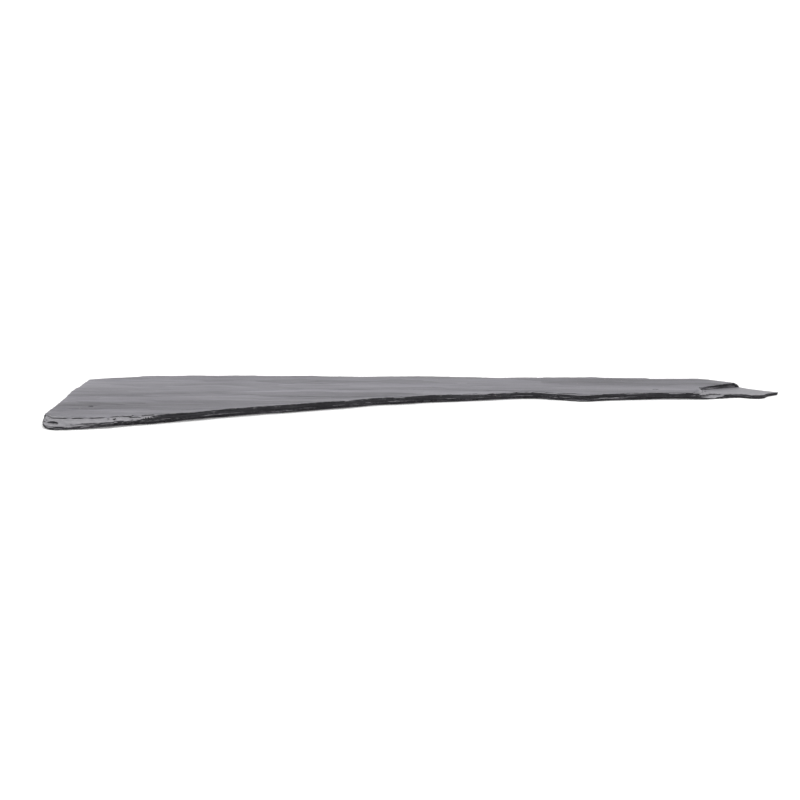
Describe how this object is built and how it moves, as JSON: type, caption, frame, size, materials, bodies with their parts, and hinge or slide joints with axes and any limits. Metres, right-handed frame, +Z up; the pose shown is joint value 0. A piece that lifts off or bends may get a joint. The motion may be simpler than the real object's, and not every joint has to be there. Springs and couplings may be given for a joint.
{
  "type": "slate slab",
  "caption": "Long thin split slab of dark grey slate with flat cleavage faces, a chipped and stepped rim, one broad end and one pointed end with a snapped upper layer.",
  "frame": {"origin": "under the middle of the slab's bounding box, on the plane that the slab rests on", "axes": "+X along the slab from the broad end to the pointed end, +Y from the chipped front edge to the back edge, +Z up through the thickness"},
  "size_m": [0.301, 0.1082, 0.004],
  "materials": {
    "slate": "natural split cleavage face, satin, with rougher and paler broken edges"
  },
  "bodies": {
    "root": {"slate_slab": "slate"}
  },
  "joints": []
}
